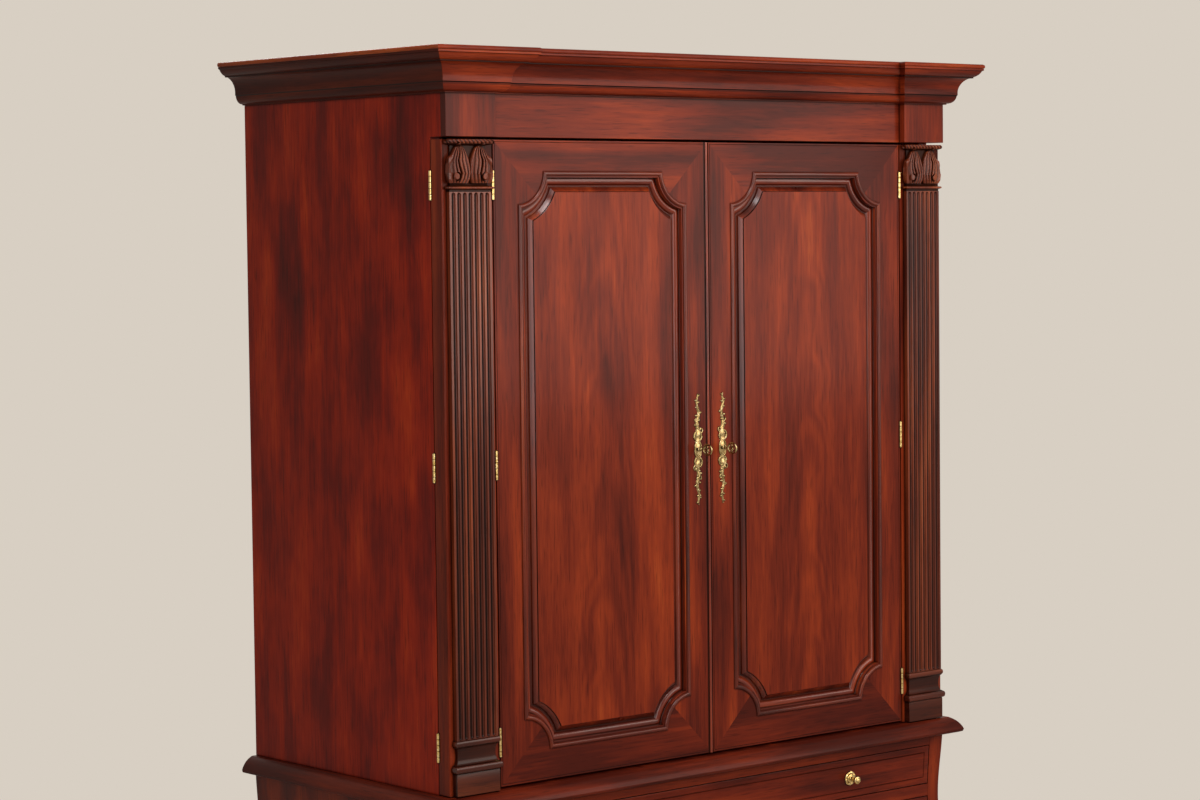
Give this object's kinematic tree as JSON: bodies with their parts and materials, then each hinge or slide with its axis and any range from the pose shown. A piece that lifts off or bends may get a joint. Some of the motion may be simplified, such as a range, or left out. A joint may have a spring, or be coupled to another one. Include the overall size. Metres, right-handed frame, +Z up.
{
  "type": "bombe armoire",
  "caption": "Tall wardrobe: hinged doors on fold-back fluted pilasters, moulded cornice, interior with hat shelf and coat rail, above a swelling chest of drawers on bracket feet.",
  "frame": {"origin": "on the floor, in the middle of the armoire's width and depth", "axes": "+X to the armoire's left hand side as it faces out, which is the viewer's right; the doors face -Y; +Z up"},
  "size_m": [1.379, 0.6784, 2.1385],
  "materials": {
    "polished_mahogany": "french polished dark red mahogany with a streaky figure",
    "plain_mahogany": "plain oiled secondary wood for drawer boxes, shelf, floor and backs",
    "polished_brass": "lacquered polished brass, worn on its high spots",
    "lock_steel": "dull steel lock cases"
  },
  "bodies": {
    "case": {"base_frame": "polished_mahogany", "case_hinge_left_bottom": "polished_brass", "case_hinge_left_middle": "polished_brass", "case_hinge_left_top": "polished_brass", "case_hinge_right_bottom": "polished_brass", "case_hinge_right_middle": "polished_brass", "case_hinge_right_top": "polished_brass", "cornice": "polished_mahogany", "drawer_rail_lower": "polished_mahogany", "drawer_rail_upper": "polished_mahogany", "foot_front_left": "polished_mahogany", "foot_front_right": "polished_mahogany", "foot_rear_left": "polished_mahogany", "foot_rear_right": "polished_mahogany", "frieze": "polished_mahogany", "hanging_rail": "polished_brass", "hat_shelf": "plain_mahogany", "lower_back": "plain_mahogany", "lower_side_left": "polished_mahogany", "lower_side_right": "polished_mahogany", "top_board": "polished_mahogany", "upper_back": "plain_mahogany", "upper_floor": "plain_mahogany", "upper_side_left": "polished_mahogany", "upper_side_right": "polished_mahogany", "waist_frame": "polished_mahogany"},
    "pilaster_left": {"pilaster_stile_left": "polished_mahogany", "pilaster_capital_left": "polished_mahogany", "pilaster_base_left": "polished_mahogany", "door_hinge_left_top": "polished_brass", "door_hinge_left_middle": "polished_brass", "door_hinge_left_bottom": "polished_brass"},
    "door_left": {"door_frame_left": "polished_mahogany", "door_panel_left": "polished_mahogany", "escutcheon_left": "polished_brass", "lock_case_left": "lock_steel"},
    "key_left": {"key_left": "polished_brass"},
    "pilaster_right": {"pilaster_stile_right": "polished_mahogany", "pilaster_capital_right": "polished_mahogany", "pilaster_base_right": "polished_mahogany", "door_hinge_right_top": "polished_brass", "door_hinge_right_middle": "polished_brass", "door_hinge_right_bottom": "polished_brass"},
    "door_right": {"door_frame_right": "polished_mahogany", "door_panel_right": "polished_mahogany", "escutcheon_right": "polished_brass", "lock_case_right": "lock_steel"},
    "key_right": {"key_right": "polished_brass"},
    "drawer_top": {"drawer_front_top": "polished_mahogany", "drawer_box_top": "plain_mahogany", "knob_top_left": "polished_brass", "knob_top_right": "polished_brass"},
    "drawer_middle": {"drawer_front_middle": "polished_mahogany", "drawer_box_middle": "plain_mahogany", "knob_middle_left": "polished_brass", "knob_middle_right": "polished_brass"},
    "drawer_bottom": {"drawer_front_bottom": "polished_mahogany", "drawer_box_bottom": "plain_mahogany", "knob_bottom_left": "polished_brass", "knob_bottom_right": "polished_brass"}
  },
  "joints": [
    {"name": "pilaster_left_hinge", "type": "hinge", "parent": "case", "child": "pilaster_left", "pos_m": [-0.6303, -0.23455, 1.403], "axis": [0, 0, -1], "range_deg": [0, 165]},
    {"name": "door_left_hinge", "type": "hinge", "parent": "pilaster_left", "child": "door_left", "pos_m": [-0.51625, -0.26605, 1.403], "axis": [0, 0, -1], "range_deg": [0, 105]},
    {"name": "key_left_turn", "type": "hinge", "parent": "door_left", "child": "key_left", "pos_m": [-0.0315, -0.26605, 1.404], "axis": [0, 1, 0], "range_deg": [0, 90]},
    {"name": "pilaster_right_hinge", "type": "hinge", "parent": "case", "child": "pilaster_right", "pos_m": [0.6303, -0.23455, 1.403], "axis": [0, 0, 1], "range_deg": [0, 165]},
    {"name": "door_right_hinge", "type": "hinge", "parent": "pilaster_right", "child": "door_right", "pos_m": [0.51625, -0.26605, 1.403], "axis": [0, 0, 1], "range_deg": [0, 105]},
    {"name": "key_right_turn", "type": "hinge", "parent": "door_right", "child": "key_right", "pos_m": [0.0315, -0.26605, 1.404], "axis": [0, 1, 0], "range_deg": [0, 90]},
    {"name": "drawer_top_slide", "type": "slide", "parent": "case", "child": "drawer_top", "axis": [0, -1, 0], "range_m": [0, 0.4]},
    {"name": "drawer_middle_slide", "type": "slide", "parent": "case", "child": "drawer_middle", "axis": [0, -1, 0], "range_m": [0, 0.4]},
    {"name": "drawer_bottom_slide", "type": "slide", "parent": "case", "child": "drawer_bottom", "axis": [0, -1, 0], "range_m": [0, 0.4]}
  ]
}
